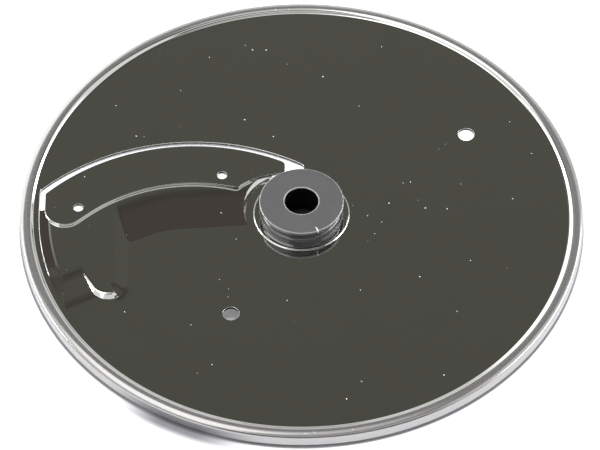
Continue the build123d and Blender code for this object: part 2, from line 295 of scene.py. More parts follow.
def lower(first, second, softness):
    """The lower of two heights, with their crossing rounded by a softness."""
    return (first + second - np.sqrt((first - second) ** 2 + softness**2)) / 2


def higher(first, second, softness):
    """The higher of two heights, with their crossing filled by a softness."""
    return (first + second + np.sqrt((first - second) ** 2 + softness**2)) / 2


def ease(value, low, high):
    """0 up to a low value and 1 from a high one on, smooth between."""
    t = np.clip((value - low) / (high - low), 0, 1)
    return t * t * (3 - 2 * t)


def lobe_depth(x, y):
    """How far a place lies inside the lobe's foot: nose circle, straight wall to the rim, inner edge."""
    dx, dy = x - NOSE[0], y - NOSE[1]
    from_nose = NOSE_RADIUS - np.hypot(dx, dy)
    wall = NOSE_RADIUS + dx * math.sin(NOSE_HEADING) - dy * math.cos(NOSE_HEADING)
    edge = NOSE_RADIUS - dx * math.cos(LOBE_LEAN) - dy * math.sin(LOBE_LEAN)
    ahead_of_wall = dx * math.cos(NOSE_HEADING) + dy * math.sin(NOSE_HEADING)
    ahead_of_edge = -dx * math.sin(LOBE_LEAN) + dy * math.cos(LOBE_LEAN)
    straight = np.minimum(wall, edge)
    return np.where((ahead_of_wall < 0) & (ahead_of_edge < 0), from_nose, straight)


def seat_lift(x, y):
    """Height of the blade's seat above the plate, in millimetres.

    The highest of three forms: a slope that falls away from the sweep arc and runs out straight towards the hub, the
    lobe, and a ramp that falls along the rim. A wall beside the rim and a wall round the hub hold all three down, and
    in front they end inside the slot.
    """
    sweep = np.hypot(x - SWEEP[0], y - SWEEP[1])
    radius = np.hypot(x, y)
    dx, dy = x - SWEEP[0], y - SWEEP[1]
    past_turn = dx * math.sin(SLOPE_TURN) - dy * math.cos(SLOPE_TURN)
    straight = dx * math.cos(SLOPE_TURN) + dy * math.sin(SLOPE_TURN)
    swept = np.where(-past_turn < SLOPE_SIDE * straight, sweep, 0)
    reach = np.where(past_turn > 0, straight, swept)
    slope = rise(reach - SLOPE_FOOT, SLOPE_CREST - SLOPE_FOOT, SLOPE_FOOT_SOFTNESS, SLOPE_CREST_SOFTNESS)
    depth = lobe_depth(x, y)
    turn = np.degrees(np.arctan2(y - NOSE[1], x - NOSE[0]))
    soft = np.where(y < NOSE[1], ease(turn, *SOFT_TURN), ease(x, NOSE[0] - SOFT_SPREAD, NOSE[0] + SOFT_SPREAD))
    in_front = np.where(y < NOSE[1], ease(turn, *FRONT_TURN), 0)
    crisp = flank(depth, FLANK_RUN + (FRONT_FLANK_RUN - FLANK_RUN) * in_front, FLANK_SOFTNESS)
    lobe = crisp + soft * (rise(depth - SOFT_FLANK_INSET, SOFT_FLANK_RUN, SOFT_FLANK_SOFTNESS) - crisp)
    past_ramp = math.sin(RAMP_AZIMUTH) * x - math.cos(RAMP_AZIMUTH) * y
    ramp = np.where(x < NOSE[0], rise(past_ramp, RAMP_RUN, RAMP_SOFTNESS), 0)
    fill = slope * (1 - slope) * lobe * (1 - lobe)
    forms = np.maximum(higher(slope, lobe, fill * 4) - fill * 2 * (1 - np.abs(slope - lobe)), ramp)
    from_rim = np.clip((RIM_WALL_FOOT - radius) / RIM_WALL_RUN, 0, 1.5)
    lip = RIM_WALL_LIP * ease(from_rim, 0, RIM_WALL_LIP_RUN) * ease(y, *RIM_WALL_LIP_ENDS)
    hollow = (1 - RIM_WALL_HOLLOW) * from_rim + RIM_WALL_HOLLOW * from_rim**2
    rim_wall = lower(hollow + lip, 1.0, RIM_WALL_SOFTNESS)
    hub_wall = flank(radius - HUB_WALL_FOOT, HUB_WALL_RUN, HUB_WALL_SOFTNESS)
    forms = np.minimum(forms, np.minimum(rim_wall, hub_wall))
    behind_slot = sweep < (SEAT_FRONT + SLOT_RADIUS) / 2
    return SEAT_RISE * np.where(behind_slot & (forms > 1e-4), forms, 0)


def plate_height(points):
    """Height of the sheet's upper face at places in plan: the flat plate, the blade's seat and the hub's round seat."""
    x, y = points[:, 0], points[:, 1]
    hub_seat = rise(HUB_SEAT_FOOT - np.hypot(x, y), HUB_SEAT_FOOT - HUB_SEAT_RADIUS, HUB_SEAT_SOFTNESS)
    return PLATE_TOP + seat_lift(x, y) + HUB_SEAT_RISE * hub_seat


# Meshes


def new_piece(name, points, groups, normals=None):
    """A mesh object at the origin from millimetre points and groups of faces, shaded by given normals if any."""
    mesh = bpy.data.meshes.new(name)
    mesh.from_pydata((points * MM).tolist(), [], [face for group in groups for face in group.tolist()])
    mesh.update()
    mesh.shade_smooth()
    if normals is None:
        mesh.set_sharp_from_angle(angle=SHARP_ANGLE)
    else:
        mesh.normals_split_custom_set_from_vertices(normals.tolist())
    piece = bpy.data.objects.new(name, mesh)
    bpy.context.scene.collection.objects.link(piece)
    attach(piece, "root")
    return piece


POLISHED, CUT = 0, 1


def mark_faces(piece, faces, marks):
    """Gives each group of faces, in the order they were made, the material with its mark's number."""
    number = np.concatenate([np.full(len(group), mark) for group, mark in zip(faces, marks)])
    piece.data.polygons.foreach_set("material_index", number.astype(np.int32))


def plan_triangles(loops, spots):
    """Triangles of a plan between closed loops, the first the outer one, with extra spots inside.

    Returns the plan's points, the triangles, and for each loop the indices of its points.
    """
    points = np.concatenate([*loops, spots])
    edges, starts, start = [], [], 0
    for loop in loops:
        index = np.arange(start, start + len(loop))
        edges.append(np.stack([index, np.roll(index, -1)], -1))
        starts.append(index)
        start += len(loop)
    made = geometry.delaunay_2d_cdt(
        [Vector(p) for p in points.tolist()], np.concatenate(edges).tolist(), [], 0, 1e-5, True
    )
    plan = np.array([p[:] for p in made[0]])
    triangles = np.array(made[2])
    place = np.full(len(points), -1)
    for output, origins in enumerate(made[3]):
        place[origins] = output
    middle = plan[triangles].mean(axis=1)
    keep = inside(middle, loops[0])
    for loop in loops[1:]:
        keep &= ~inside(middle, loop)
    return plan, triangles[keep], [place[index] for index in starts]


def face_normals(plan, height, step=0.02):
    """Upward unit normals of a height over the plan, from its differences a small step to both sides."""
    across = (height(plan + (step, 0)) - height(plan - (step, 0))) / (2 * step)
    along = (height(plan + (0, step)) - height(plan - (0, step))) / (2 * step)
    normals = np.stack([-across, -along, np.ones(len(plan))], -1)
    return normals / np.linalg.norm(normals, axis=1)[:, None]


def edge_rings(top, bottom, outward, rounding):
    """Rings of points round the cut edge of a sheet, from its upper face to its lower one, and their normals.

    A quarter circle turns down from the upper face, a straight wall follows, and a quarter circle turns in again. The
    cut stands one rounding outside the faces' own loops.
    """
    turn = np.linspace(0, np.pi / 2, EDGE_STEPS + 1)[1:]
    rounding = np.minimum(rounding, ROUNDING_SHARE * (top[:, 2] - bottom[:, 2]))[None, :, None]
    out = np.concatenate([outward, np.zeros((len(outward), 1))], axis=1)[None]
    down = np.array([0, 0, -1.0])
    reach = np.sin(turn)[:, None, None]
    drop = 1 - np.cos(turn)[:, None, None]
    upper = top[None] + rounding * (reach * out + drop * down)
    under = bottom[None] + rounding * (reach * out - drop * down)
    upper_way = reach * out - (1 - drop) * down
    under_way = reach * out + (1 - drop) * down
    return np.concatenate([upper, under[::-1]]), np.concatenate([upper_way, under_way[::-1]])


def ring_faces(rings):
    """Quads between successive closed rings of point indices."""
    after = np.roll(rings, -1, axis=1)
    return np.stack([rings[:-1], rings[1:], after[1:], after[:-1]], -1).reshape(-1, 4)


def sheet_piece(loops, spots, top_height, bottom_height, rounding):
    """A sheet cut to loops in plan, its two faces given as heights over the plan, with finely rounded cut edges.

    The first loop is the outer cut, the others are openings. One with rounding None stays open for a rolled rim.
    Returns points, normals, face groups (upper face, lower face, then each cut's upper rounding and wall) and the open
    loop's upper and lower indices.
    """
    inset, outward = [], []
    for number, loop in enumerate(loops):
        normal = loop_normals(loop) * (1 if number == 0 else -1)
        step = 0 if rounding[number] is None else rounding[number]
        inset.append(loop - normal * step)
        outward.append(normal)
    plan, triangles, places = plan_triangles(inset, spots)
    count = len(plan)
    top = np.concatenate([plan, top_height(plan)[:, None]], axis=1)
    bottom = np.concatenate([plan, bottom_height(plan)[:, None]], axis=1)
    points = [top, bottom]
    normals = [face_normals(plan, top_height), -face_normals(plan, bottom_height)]
    faces = [triangles, triangles[:, ::-1] + count]
    total = 2 * count
    open_loop = None
    for number, place in enumerate(places):
        if rounding[number] is None:
            open_loop = place, place + count
            continue
        rings, ring_normals = edge_rings(top[place], bottom[place], outward[number], rounding[number])
        index = total + np.arange(rings.shape[0] * len(place)).reshape(rings.shape[0], -1)
        index = np.concatenate([place[None], index, place[None] + count])
        quads = ring_faces(index)[:, :: 1 if number == 0 else -1]
        faces += [quads[: EDGE_STEPS * len(place)], quads[EDGE_STEPS * len(place) :]]
        points.append(rings.reshape(-1, 3))
        normals.append(ring_normals.reshape(-1, 3))
        total += rings.shape[0] * len(place)
    return np.concatenate(points), np.concatenate(normals), faces, open_loop


def turned_section(section, steps):
    """Points of a section of radius and height, carried round the disc's axis: one ring for each section point."""
    angle = np.linspace(0, 2 * np.pi, steps, endpoint=False)
    radius, height = section[:, 0, None], section[:, 1, None]
    return np.stack(np.broadcast_arrays(radius * np.cos(angle), radius * np.sin(angle), height), -1)


def section_arc(centre, radius, start, end, steps):
    """Points of a section's arc, angles in degrees from the outward direction, upwards positive."""
    angle = np.radians(np.linspace(start, end, steps + 1))
    return np.stack([centre[0] + radius * np.cos(angle), centre[1] + radius * np.sin(angle)], -1)


def section_join(*runs):
    """Runs of a section one after another, without points that repeat."""
    section = np.concatenate([np.atleast_2d(np.asarray(run, float)) for run in runs])
    step = np.linalg.norm(np.diff(section, axis=0), axis=1)
    return section[np.concatenate([[True], step > 1e-5])]


# Disc plate


def slot_loop():
    """Outline of the slot: far arc, tip beside the hub, hub wall, the seat's front arc, and the end at the rim."""
    tip_angle = beside_hub(SLOT_RADIUS, HUB_WALL_FOOT + SLOT_TIP_WIDTH)
    tip = polar(SWEEP, SLOT_RADIUS, tip_angle)
    far_end = sweep_angle(SLOT_RADIUS, SLOT_LEFT)
    left_top = polar(SWEEP, SLOT_RADIUS, far_end)
    near_end = np.pi - math.asin((SLOT_BOTTOM - SWEEP[1]) / SEAT_FRONT)
    near_start = beside_hub(SEAT_FRONT, HUB_WALL_FOOT)
    near_corner = polar(SWEEP, SEAT_FRONT, near_end)
    hub_corner = polar(SWEEP, SEAT_FRONT, near_start)
    tip_foot = np.array([tip[0], math.sqrt(HUB_WALL_FOOT**2 - tip[0] ** 2)])
    hub_from = math.atan2(hub_corner[1], hub_corner[0])
    hub_to = math.atan2(tip_foot[1], tip_foot[0])
    sides = [
        arc(SWEEP, SLOT_RADIUS, tip_angle, far_end),
        line(left_top, (SLOT_LEFT, SLOT_BOTTOM)),
        line((SLOT_LEFT, SLOT_BOTTOM), near_corner),
        arc(SWEEP, SEAT_FRONT, near_end, near_start),
        arc((0, 0), HUB_WALL_FOOT, hub_from, hub_to),
        line(tip_foot, tip),
    ]
    return rounded_loop(sides, SLOT_CORNERS)


def key_loop():
    """Outline of the plate's square opening with rounded corners, under the hub."""
    corners = KEY_HALF * np.array([[1, -1], [1, 1], [-1, 1], [-1, -1]])
    sides = [line(corners[i], corners[(i + 1) % 4], pitch=1.0) for i in range(4)]
    return rounded_loop(sides, [KEY_CORNER] * 4)


def pressing_spots(loops):
    """Places for the plate's triangles: close together where the sheet bends, far apart where it is flat."""
    side = np.arange(-RIM_ROOT, RIM_ROOT, FINE_PITCH)
    x, y = np.meshgrid(side, side, indexing="ij")
    lift = seat_lift(x, y)
    bend = sum(np.abs(np.gradient(g, FINE_PITCH, axis=k)) for g in np.gradient(lift, FINE_PITCH) for k in (0, 1))
    near = bend > FINE_BEND
    for axis in (0, 1):
        near = near | np.roll(near, 1, axis) | np.roll(near, -1, axis)
    index = np.arange(len(side))
    coarse = (index[:, None] % COARSE_EVERY == 0) & (index[None] % COARSE_EVERY == 0)
    spots = np.stack([x, y], -1)[near | coarse]
    radii = (*np.linspace(*HUB_SEAT_RINGS), *HUB_FLAT_RINGS)
    rings = [circle((0, 0), radius, HUB_RING_STEPS) for radius in radii]
    angles = np.linspace(*HUB_WALL_TURN)
    walls = [polar((0, 0), HUB_WALL_FOOT + step, angles) for step in HUB_WALL_LINES]
    angles = np.linspace(*RIM_WALL_TURN)
    walls += [polar((0, 0), RIM_WALL_FOOT - step, angles) for step in RIM_WALL_LINES]
    nose = np.linspace(*NOSE_TURN)
    straight = np.linspace(*LOBE_RUN)[:, None]
    wall_way = np.array([math.cos(NOSE_HEADING), math.sin(NOSE_HEADING)])
    edge_way = np.array([-math.sin(LOBE_LEAN), math.cos(LOBE_LEAN)])
    for step in FLANK_LINES:
        reach = NOSE_RADIUS - step
        walls.append(polar(NOSE, reach, nose))
        walls.append(polar(NOSE, reach, nose[0]) + straight * wall_way)
        walls.append(polar(NOSE, reach, nose[-1]) + straight * edge_way)
    angles = np.linspace(*SLOPE_ARC)
    straight = np.linspace(*SLOPE_RUN)[:, None]
    slope_way = np.array([math.sin(SLOPE_TURN), -math.cos(SLOPE_TURN)])
    for step in SLOPE_LINES:
        walls.append(polar(SWEEP, SLOPE_FOOT + step, angles))
        walls.append(polar(SWEEP, SLOPE_FOOT + step, SLOPE_TURN) + straight * slope_way)
    aligned = np.concatenate([*rings, *walls])
    radius = np.hypot(spots[:, 0], spots[:, 1])
    on_wall = (radius < HUB_WALL_FOOT + HUB_WALL_RUN) & (spots[:, 0] < 0)
    spots = spots[(radius > HUB_WALL_FOOT - HUB_CLEARANCE) & ~on_wall]
    spots = np.concatenate([aligned, spots])
    spots = spots[np.hypot(spots[:, 0], spots[:, 1]) < RIM_ROOT - RIM_CLEARANCE]
    for loop in loops[1:]:
        away = np.full(len(spots), np.inf)
        for part in np.array_split(loop, max(1, len(loop) // LOOP_PART)):
            gap = np.linalg.norm(spots[:, None] - part[None], axis=2).min(axis=1)
            away = np.minimum(away, gap)
        spots = spots[(away > CUT_CLEARANCE) & ~inside(spots, loop)]
    order = np.round(spots / LEAST_PITCH).astype(int)
    _, first = np.unique(order, axis=0, return_index=True)
    return spots[np.sort(first)]


def rim_section():
    """Section of the rolled rim, from the plate's upper face over crown, shoulder, skirt and hem, and back under it."""
    angle, turn = math.degrees(S_ANGLE), 90 - math.degrees(SHOULDER_ANGLE)
    crown_top = PLATE_TOP + CROWN_RISE
    root = (RIM_ROOT, PLATE_TOP + ROOT_RADIUS)
    crown = (CROWN_TOP_RADIUS, crown_top - CROWN_RADIUS)
    shoulder = (CROWN_TOP_RADIUS, crown_top - SHOULDER_RADIUS)
    drop = (SHOULDER_RADIUS - CORNER_RADIUS) * math.cos(SHOULDER_ANGLE)
    corner = (DISC_RADIUS - CORNER_RADIUS, shoulder[1] + drop)
    curl = (DISC_RADIUS - CURL_RADIUS, CURL_RADIUS)
    lip = DISC_RADIUS - CURL_RADIUS - LIP_WIDTH
    half = SHEET / 2
    outer = section_join(
        section_arc(root, ROOT_RADIUS, -90, -90 + angle, 8),
        section_arc(crown, CROWN_RADIUS, 90 + angle, 90, 10),
        section_arc(shoulder, SHOULDER_RADIUS, 90, turn, 8),
        section_arc(corner, CORNER_RADIUS, turn, 0, 12),
        section_arc(curl, CURL_RADIUS, 0, -90, 10),
        section_arc((lip, half), half, -90, -270, 8),
    )
    inner = section_join(
        section_arc(curl, CURL_RADIUS - SHEET, -90, 0, 4),
        section_arc(corner, CORNER_RADIUS - SHEET, 0, turn, 3),
        section_arc(shoulder, SHOULDER_RADIUS - SHEET, turn, 90, 4),
        section_arc(crown, CROWN_RADIUS - SHEET, 90, 90 + angle, 5),
        section_arc(root, ROOT_RADIUS + SHEET, -90 + angle, -90, 6),
    )
    return section_join(outer, inner)


outer_angle = sweep_angle(WELD_ARC, BLADE_LEFT + OUTER_HOLE_INSET)
tongue_start = beside_hub(BLADE_REAR, HUB_RADIUS + TONGUE_START_GAP)
inner_angle = sweep_angle(WELD_ARC, polar(SWEEP, BLADE_REAR, tongue_start)[0] - INNER_HOLE_INSET)
WELD_HOLES = [polar(SWEEP, WELD_ARC, outer_angle), polar(SWEEP, WELD_ARC, inner_angle)]


def make_plate():
    """The disc plate: a pressed sheet inside the rim's root, carried on into the rolled rim round the axis."""
    loops = [circle((0, 0), RIM_ROOT, ROUND_STEPS), slot_loop(), key_loop()]
    loops += [circle(place, PLATE_HOLE_RADIUS, HOLE_STEPS) for place in PLATE_HOLES]
    loops += [circle(place, WELD_HOLE_RADIUS, WELD_HOLE_STEPS) for place in WELD_HOLES]
    rounding = [None] + [EDGE_ROUNDING] * (len(loops) - 1)
    points, normals, faces, (upper, under) = sheet_piece(
        loops, pressing_spots(loops), plate_height, lambda plan: plate_height(plan) - SHEET, rounding
    )
    section = rim_section()
    along = np.gradient(section, axis=0)[1:-1]
    facing = np.stack([-along[:, 1], along[:, 0]], -1)
    facing /= np.linalg.norm(facing, axis=1)[:, None]
    rings = turned_section(section[1:-1], ROUND_STEPS)
    ways = turned_section(facing, ROUND_STEPS)
    index = len(points) + np.arange(rings.shape[0] * ROUND_STEPS).reshape(rings.shape[0], -1)
    index = np.concatenate([upper[None], index, under[None]])
    faces.append(ring_faces(index))
    points = np.concatenate([points, rings.reshape(-1, 3)])
    normals = np.concatenate([normals, ways.reshape(-1, 3)])
    piece = new_piece("polished_plate", points, faces, normals)
    cuts = [POLISHED, CUT] * (len(loops) - 1 - len(WELD_HOLES))
    mark_faces(piece, faces, [POLISHED] * 2 + cuts + [POLISHED] * (2 * len(WELD_HOLES) + 1))
    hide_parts("disc_plate")
    return piece


# Blade


def blade_loop():
    """Outline of the blade: cutting arc, outer end, round heel with its S-shaped step, rear arc, and the tongue."""
    tip_reach, tongue_reach = BLADE_FRONT - TIP_INSET, BLADE_FRONT - TONGUE_INSET
    tip = polar(SWEEP, tip_reach, beside_hub(tip_reach, HUB_RADIUS + TIP_GAP))
    middle = polar(SWEEP, tongue_reach, beside_hub(tongue_reach, HUB_RADIUS + TONGUE_GAP))
    start = polar(SWEEP, BLADE_REAR, tongue_start)
    front_from = sweep_angle(BLADE_FRONT, tip[0])
    front_to = sweep_angle(BLADE_FRONT, BLADE_LEFT)
    heel_reach = BLADE_REAR + HEEL_RADIUS + HEEL_GAP
    heel_angle = sweep_angle(heel_reach, BLADE_LEFT + HEEL_RADIUS)
    heel_centre = polar(SWEEP, heel_reach, heel_angle)
    step_turn = math.acos((BLADE_REAR + HEEL_RADIUS) / heel_reach)
    heel = arc(heel_centre, HEEL_RADIUS, np.pi, heel_angle + np.pi - step_turn)
    rear = arc(SWEEP, BLADE_REAR, heel_angle - step_turn, tongue_start)
    t = np.linspace(0, 1, 40)[:, None]
    bow = 2 * middle - (start + tip) / 2
    tongue = (1 - t) ** 2 * start + 2 * t * (1 - t) * bow + t**2 * tip
    front = arc(SWEEP, BLADE_FRONT, front_from, front_to)
    sides = [front, line(front[-1], heel[0]), heel, line(heel[-1], rear[0]), rear, tongue, line(tip, front[0])]
    return rounded_loop(sides, BLADE_CORNERS)


def blade_underside(plan):
    """Height of the blade's lower face: flat on the seat, ground up to the cutting edge over the bevel's width."""
    sweep = np.hypot(plan[:, 0] - SWEEP[0], plan[:, 1] - SWEEP[1])
    edge = BLADE_TOP - EDGE_LAND - SEAT_TOP
    ground = np.clip((sweep - (BLADE_FRONT - BEVEL_WIDTH)) / BEVEL_WIDTH, 0, 1)
    return SEAT_TOP + edge * ground


def make_blade():
    """The slicing blade, a flat crescent on the seat."""
    loops = [blade_loop()] + [circle(place, WELD_HOLE_RADIUS, WELD_HOLE_STEPS) for place in WELD_HOLES]
    first, last = (sweep_angle(BLADE_FRONT, x) for x in BEVEL_ENDS)
    spots = polar(SWEEP, BLADE_FRONT - BEVEL_WIDTH, np.linspace(first, last, BEVEL_STEPS))
    points, normals, faces, _ = sheet_piece(
        loops, spots, lambda plan: np.full(len(plan), BLADE_TOP), blade_underside, BLADE_ROUNDING
    )
    piece = new_piece("crescent_blade", points, faces, normals)
    mark_faces(piece, faces, [POLISHED] * 4 + [POLISHED, CUT] * len(WELD_HOLES))
    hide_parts("slicing_blade")
    return piece


# Hub

HUB_SEAT_TOP = PLATE_TOP + HUB_SEAT_RISE
HUB_BASE_TOP = HUB_SEAT_TOP + 1.6
HUB_FLANGE_BOTTOM = HUB_TOP - 1.3
HUB_NECK = HUB_RADIUS - 1.6
HUB_EDGE = 0.45
HUB_SMALL_EDGE = HUB_EDGE * 0.6
HUB_FLAT_LEAD = 0.04
HUB_SIDE_LEAD = 0.03
NECK_SHARE = 0.9
BORE_LIP = 0.35
NOTCH_HALF_WIDTH = 1.1
NOTCH_HALF_LENGTH = 10.0
NOTCH_DEPTH = 2.4
NOTCH_BELOW = 1.0
NOTCH_ANGLE = math.radians(48)


def hub_section():
    """Section of the hub: bore, top face, top flange, hollow neck, base flange, waist in the plate, lower flange."""
    half = (HUB_FLANGE_BOTTOM - HUB_BASE_TOP) / 2
    middle = HUB_BASE_TOP + half
    depth = HUB_RADIUS - HUB_NECK
    hollow = (half**2 + depth**2) / (2 * depth)
    spread = math.degrees(math.asin(half / hollow)) * NECK_SHARE
    neck = (HUB_NECK + hollow, middle)
    small, top = HUB_SMALL_EDGE, HUB_TOP
    under = HUB_SEAT_TOP - SHEET
    return section_join(
        (BORE_RADIUS, HUB_BOTTOM),
        (BORE_RADIUS, top - BORE_LIP - HUB_FLAT_LEAD),
        section_arc((BORE_RADIUS + BORE_LIP, top - BORE_LIP), BORE_LIP, 180, 90, 8),
        (BORE_RADIUS + BORE_LIP + HUB_FLAT_LEAD, top),
        (HUB_RADIUS - HUB_EDGE - HUB_FLAT_LEAD, top),
        section_arc((HUB_RADIUS - HUB_EDGE, top - HUB_EDGE), HUB_EDGE, 90, 0, 10),
        (HUB_RADIUS, top - HUB_EDGE - HUB_SIDE_LEAD),
        (HUB_RADIUS, HUB_FLANGE_BOTTOM + small + HUB_SIDE_LEAD),
        section_arc((HUB_RADIUS - small, HUB_FLANGE_BOTTOM + small), small, 0, -60, 6),
        section_arc(neck, hollow, 180 - spread, 180 + spread, 20),
        section_arc((HUB_RADIUS - HUB_EDGE, HUB_BASE_TOP - small), small, 70, 0, 6),
        (HUB_RADIUS, HUB_SEAT_TOP),
        (KEY_HALF, HUB_SEAT_TOP),
        (KEY_HALF, under),
        (HUB_RADIUS, under),
        section_arc((HUB_RADIUS - HUB_EDGE, HUB_BOTTOM + HUB_EDGE), HUB_EDGE, 0, -90, 6),
    )


def notch_points():
    """A bar with round ends, lying across the hub's underside: its outline in plan, below it and at its depth."""
    reach = NOTCH_HALF_LENGTH - NOTCH_HALF_WIDTH
    half_turn = np.linspace(-np.pi / 2, np.pi / 2, 12) + NOTCH_ANGLE
    ends = polar((0, 0), reach, NOTCH_ANGLE), polar((0, 0), -reach, NOTCH_ANGLE)
    outline = np.concatenate(
        [polar(ends[0], NOTCH_HALF_WIDTH, half_turn), polar(ends[1], NOTCH_HALF_WIDTH, half_turn + np.pi)]
    )
    low = np.full((len(outline), 1), HUB_BOTTOM - NOTCH_BELOW)
    return np.concatenate([np.hstack([outline, low]), np.hstack([outline, low + NOTCH_BELOW + NOTCH_DEPTH])])


def cut_notch(piece):
    """Cuts the bar for the drive pin out of a piece's mesh."""
    points = notch_points()
    count = len(points) // 2
    index = np.arange(2 * count).reshape(2, -1)
    mesh = bpy.data.meshes.new("notch")
    faces = ring_faces(index)[:, ::-1].tolist() + [index[0][::-1].tolist(), index[1].tolist()]
    mesh.from_pydata((points * MM).tolist(), [], faces)
    bar = bpy.data.objects.new("notch", mesh)
    bpy.context.scene.collection.objects.link(bar)
    cut = piece.modifiers.new("notch", "BOOLEAN")
    cut.object = bar
    graph = bpy.context.evaluated_depsgraph_get()
    finished = bpy.data.meshes.new_from_object(piece.evaluated_get(graph))
    piece.modifiers.remove(cut)
    piece.data = finished
    bpy.data.objects.remove(bar)
    finished.set_sharp_from_angle(angle=SHARP_ANGLE)


def make_hub():
    """The hub: its section carried round the axis, with a notch across the underside for the drive pin."""
    rings = turned_section(hub_section(), HUB_STEPS)
    index = np.arange(rings.shape[0] * HUB_STEPS).reshape(rings.shape[0], -1)
    index = np.concatenate([index, index[:1]])
    piece = new_piece("moulded_hub", rings.reshape(-1, 3), [ring_faces(index)])
    cut_notch(piece)
    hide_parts("hub")
    return piece


plate = make_plate()
blade = make_blade()
hub = make_hub()


# Materials


def add(tree, kind, inputs=None, **settings):
    """A new node with its settings, and its inputs set to values or linked to other nodes' outputs."""
    made = tree.nodes.new(kind)
    for name, value in settings.items():
        setattr(made, name, value)
    for socket, value in (inputs or {}).items():
        if isinstance(value, bpy.types.NodeSocket):
            tree.links.new(value, made.inputs[socket])
        else:
            made.inputs[socket].default_value = value
    return made


def maths(tree, operation, first, second=0.0):
    """The result of one sum, product or comparison of two numbers."""
    return add(tree, "ShaderNodeMath", {0: first, 1: second}, operation=operation).outputs[0]


def times(tree, first, second):
    """The product of two numbers."""
    return maths(tree, "MULTIPLY", first, second)


def noise(tree, place, scale, detail):
    """A soft random pattern over a place."""
    return add(tree, "ShaderNodeTexNoise", {"Vector": place, "Scale": scale, "Detail": detail}).outputs[0]


def span(tree, value, low, high, to_low=0.0, to_high=1.0):
    """A value carried from one range smoothly to another, and held at its ends."""
    limits = {"Value": value, "From Min": low, "From Max": high, "To Min": to_low, "To Max": to_high}
    return add(tree, "ShaderNodeMapRange", limits, interpolation_type="SMOOTHSTEP").outputs[0]


def window(tree, value, low, high, soft):
    """1 while a value is between two limits and 0 outside them, with soft ends."""
    return times(tree, span(tree, value, low - soft, low), span(tree, value, high + soft, high))


def blend(tree, factor, first, second):
    """Two colours mixed by a factor."""
    pair = [value if isinstance(value, bpy.types.NodeSocket) else (*value, 1) for value in (first, second)]
    return add(tree, "ShaderNodeMix", {"Factor": factor, 6: pair[0], 7: pair[1]}, data_type="RGBA").outputs[2]


def new_group(name, inputs, outputs):
    """An empty shader group with named number inputs, given with their usual values, and named outputs."""
    group = bpy.data.node_groups.new(name, "ShaderNodeTree")
    for socket, value in inputs.items():
        made = group.interface.new_socket(socket, in_out="INPUT", socket_type="NodeSocketFloat")
        made.default_value = value
    for socket in outputs:
        group.interface.new_socket(socket, in_out="OUTPUT", socket_type="NodeSocketFloat")
    return group, group.nodes.new("NodeGroupInput"), group.nodes.new("NodeGroupOutput")


def varied(tree, least_and_more, pattern):
    """A least value, and a part of a pattern added to it."""
    least, more = least_and_more
    return maths(tree, "ADD", least, times(tree, pattern, more))


def axis_places(tree):
    """The place on a piece, its parts along the axes, its place in plan and its distance from the disc's axis."""
    place = add(tree, "ShaderNodeTexCoord").outputs["Object"]
    parts = add(tree, "ShaderNodeSeparateXYZ", {0: place}).outputs
    flat = add(tree, "ShaderNodeCombineXYZ", {0: parts[0], 1: parts[1]}).outputs[0]
    radius = add(tree, "ShaderNodeVectorMath", {0: flat}, operation="LENGTH").outputs["Value"]
    return place, parts, flat, radius


def azimuth(tree, parts):
    """The angle about Z, in radians, of a place or direction given by its parts."""
    return maths(tree, "ARCTAN2", parts[1], parts[0])


def dust_group():
    """Specks of dust: a few cells of a scattered pattern, each with a dot of its own size and paleness."""
    group, given, result = new_group("dust specks", {"Cells": 130.0, "Size": 0.06, "Share": 0.1}, ["Mask"])
    place = add(group, "ShaderNodeTexCoord").outputs["Object"]
    cells = add(group, "ShaderNodeTexVoronoi", {"Vector": place, "Scale": given.outputs["Cells"]}, feature="F1")
    pick = add(group, "ShaderNodeSeparateColor", {0: cells.outputs["Color"]})
    chosen = maths(group, "LESS_THAN", pick.outputs[0], given.outputs["Share"])
    size = times(group, given.outputs["Size"], maths(group, "ADD", pick.outputs[1], 0.35))
    dot = maths(group, "LESS_THAN", cells.outputs["Distance"], size)
    pale = maths(group, "ADD", maths(group, "POWER", pick.outputs[2], 2.5), 0.12)
    shown = times(group, chosen, maths(group, "MINIMUM", pale, 1.0))
    group.links.new(times(group, shown, dot), result.inputs["Mask"])
    return group


def scratch_group():
    """Fine scratches: two sets of long thin lines, where a drawn-out noise crosses its middle value."""
    group, given, result = new_group("fine scratches", {"Density": 1.0, "Turn": 0.4}, ["Mask"])
    place = add(group, "ShaderNodeTexCoord").outputs["Object"]
    lines = []
    for turn, stretch in ((0.0, 210.0), (1.9, 160.0)):
        angle = maths(group, "ADD", given.outputs["Turn"], turn)
        rotation = add(group, "ShaderNodeCombineXYZ", {2: angle}).outputs[0]
        given_turn = {"Vector": place, "Rotation": rotation}
        turned = add(group, "ShaderNodeVectorRotate", given_turn, rotation_type="EULER_XYZ")
        drawn = add(group, "ShaderNodeMapping", {"Vector": turned.outputs[0], "Scale": (9.0, stretch, 60.0)})
        off = maths(group, "ABSOLUTE", maths(group, "SUBTRACT", noise(group, drawn.outputs[0], 1.0, 2.0), 0.5))
        lines.append(span(group, off, 0.0, 0.006, 1.0, 0.0))
    both = maths(group, "MAXIMUM", lines[0], lines[1])
    here = times(group, span(group, noise(group, place, 38.0, 1.0), 0.5, 0.62), given.outputs["Density"])
    group.links.new(times(group, both, here), result.inputs["Mask"])
    return group


DUST = dust_group()
SCRATCHES = scratch_group()


def new_material(name, **shader):
    """A material with one Principled shader, its plain values set on the shader itself."""
    material = bpy.data.materials.new(name)
    material.use_nodes = True
    tree = material.node_tree
    tree.nodes.clear()
    surface = add(tree, "ShaderNodeBsdfPrincipled", shader)
    add(tree, "ShaderNodeOutputMaterial", {"Surface": surface.outputs[0]})
    return material, tree, surface


def feed(tree, surface, inputs):
    """Links results to a shader's inputs by their names."""
    for socket, value in inputs.items():
        tree.links.new(value, surface.inputs[socket])


